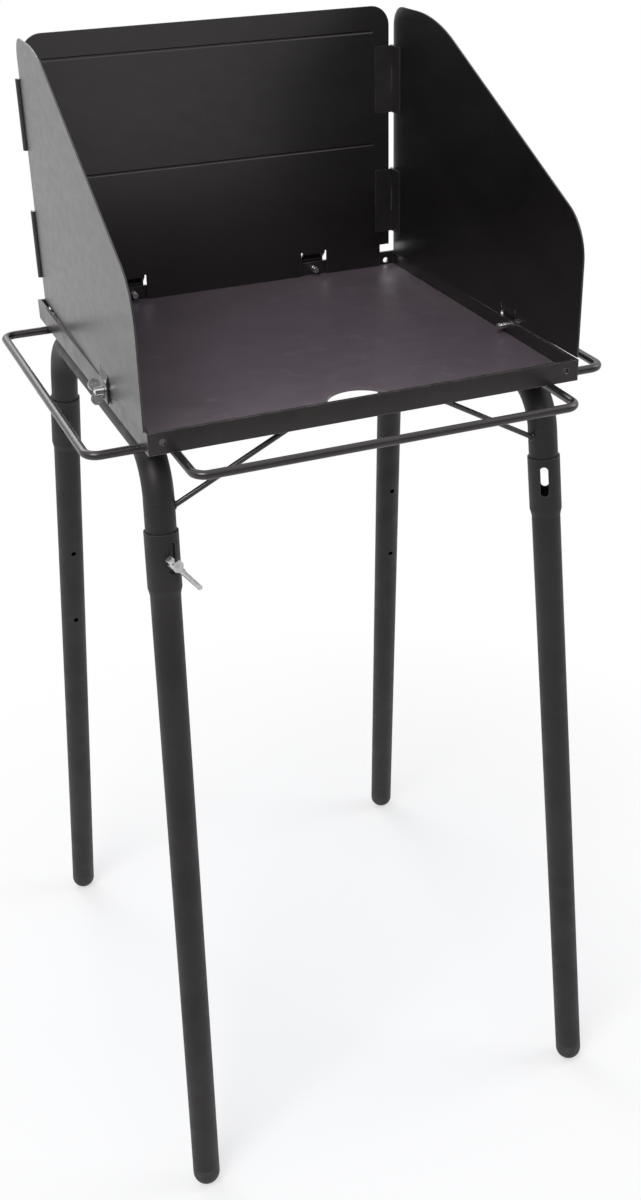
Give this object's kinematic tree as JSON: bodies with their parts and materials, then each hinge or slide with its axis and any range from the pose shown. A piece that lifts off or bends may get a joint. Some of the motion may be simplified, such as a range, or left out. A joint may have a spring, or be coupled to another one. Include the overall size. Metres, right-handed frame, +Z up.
{
  "type": "camp cooking table",
  "caption": "Square steel tray table for outdoor pot cooking, with bent tube legs that slide to level it, rod racks on its sides and a three-sided lift-off windscreen.",
  "frame": {"origin": "on the ground, in the middle between the four feet", "axes": "+X to the right seen from the open front side, +Y to the back where the windscreen's back panel stands, +Z up"},
  "size_m": [0.508, 0.5548, 1.099],
  "materials": {
    "blackened_steel": "warm black, satin",
    "oiled_plate": "blackened and oiled, satin",
    "sheet_steel": "black, soft satin",
    "hinge_steel": "black, a little brighter than the sheet",
    "zinc": "bright zinc plate",
    "foot_rubber": "black, matt"
  },
  "bodies": {
    "table": {"tray_frame": "blackened_steel", "floor_plate": "oiled_plate", "left_tube_frame": "blackened_steel", "right_tube_frame": "blackened_steel", "clamp_nuts": "zinc", "left_rack": "blackened_steel", "right_rack": "blackened_steel", "front_rack": "blackened_steel", "front_left_brace": "blackened_steel", "front_right_brace": "blackened_steel", "rear_left_brace": "blackened_steel", "rear_right_brace": "blackened_steel"},
    "windscreen": {"back_panel": "sheet_steel", "left_wing": "sheet_steel", "right_wing": "sheet_steel", "left_back_leaves": "hinge_steel", "right_back_leaves": "hinge_steel", "left_wing_leaves": "hinge_steel", "right_wing_leaves": "hinge_steel", "left_hinge_pins": "zinc", "right_hinge_pins": "zinc"},
    "front_left_lower": {"front_left_leg": "blackened_steel", "front_left_foot": "foot_rubber"},
    "front_right_lower": {"front_right_leg": "blackened_steel", "front_right_foot": "foot_rubber"},
    "rear_left_lower": {"rear_left_leg": "blackened_steel", "rear_left_foot": "foot_rubber"},
    "rear_right_lower": {"rear_right_leg": "blackened_steel", "rear_right_foot": "foot_rubber"},
    "front_left_clamp": {"front_left_clamp_screw": "zinc", "front_left_clamp_bar": "zinc"},
    "rear_left_clamp": {"rear_left_clamp_screw": "zinc", "rear_left_clamp_bar": "zinc"},
    "rear_right_clamp": {"rear_right_clamp_screw": "zinc", "rear_right_clamp_bar": "zinc"},
    "back_left_screw": {"back_left_wing_screw": "zinc"},
    "back_right_screw": {"back_right_wing_screw": "zinc"},
    "left_screw": {"left_wing_screw": "zinc"},
    "right_screw": {"right_wing_screw": "zinc"}
  },
  "joints": [
    {"name": "windscreen_lift", "type": "slide", "parent": "table", "child": "windscreen", "axis": [0, 0, 1], "range_m": [0, 0.12]},
    {"name": "front_left_leg_slide", "type": "slide", "parent": "table", "child": "front_left_lower", "axis": [0.0406, 0.108, 0.9933], "range_m": [-0.0168, 0.0062]},
    {"name": "front_right_leg_slide", "type": "slide", "parent": "table", "child": "front_right_lower", "axis": [-0.0406, 0.108, 0.9933], "range_m": [-0.0168, 0.0062]},
    {"name": "rear_left_leg_slide", "type": "slide", "parent": "table", "child": "rear_left_lower", "axis": [0.0405, -0.1323, 0.9904], "range_m": [-0.0168, 0.0062]},
    {"name": "rear_right_leg_slide", "type": "slide", "parent": "table", "child": "rear_right_lower", "axis": [-0.0405, -0.1323, 0.9904], "range_m": [-0.0168, 0.0062]},
    {"name": "front_left_clamp_turn", "type": "hinge", "parent": "table", "child": "front_left_clamp", "pos_m": [-0.19279, -0.18817, 0.70636], "axis": [0.2796, -0.9556, 0.0925], "range_deg": [0, 180]},
    {"name": "rear_left_clamp_turn", "type": "hinge", "parent": "table", "child": "rear_left_clamp", "pos_m": [-0.19278, 0.17095, 0.70664], "axis": [0.2806, 0.9528, 0.1158], "range_deg": [0, 180]},
    {"name": "rear_right_clamp_turn", "type": "hinge", "parent": "table", "child": "rear_right_clamp", "pos_m": [0.19278, 0.17095, 0.70664], "axis": [0.2702, 0.9528, 0.1383], "range_deg": [0, 180]},
    {"name": "back_left_screw_turn", "type": "hinge", "parent": "table", "child": "back_left_screw", "pos_m": [-0.1035, 0.18445, 0.831], "axis": [0, 1, 0], "range_deg": [0, 360]},
    {"name": "back_right_screw_turn", "type": "hinge", "parent": "table", "child": "back_right_screw", "pos_m": [0.1035, 0.18445, 0.831], "axis": [0, 1, 0], "range_deg": [0, 360]},
    {"name": "left_screw_turn", "type": "hinge", "parent": "table", "child": "left_screw", "pos_m": [-0.205, -0.08355, 0.831], "axis": [-1, 0, 0], "range_deg": [0, 360]},
    {"name": "right_screw_turn", "type": "hinge", "parent": "table", "child": "right_screw", "pos_m": [0.205, -0.08355, 0.831], "axis": [1, 0, 0], "range_deg": [0, 360]}
  ]
}
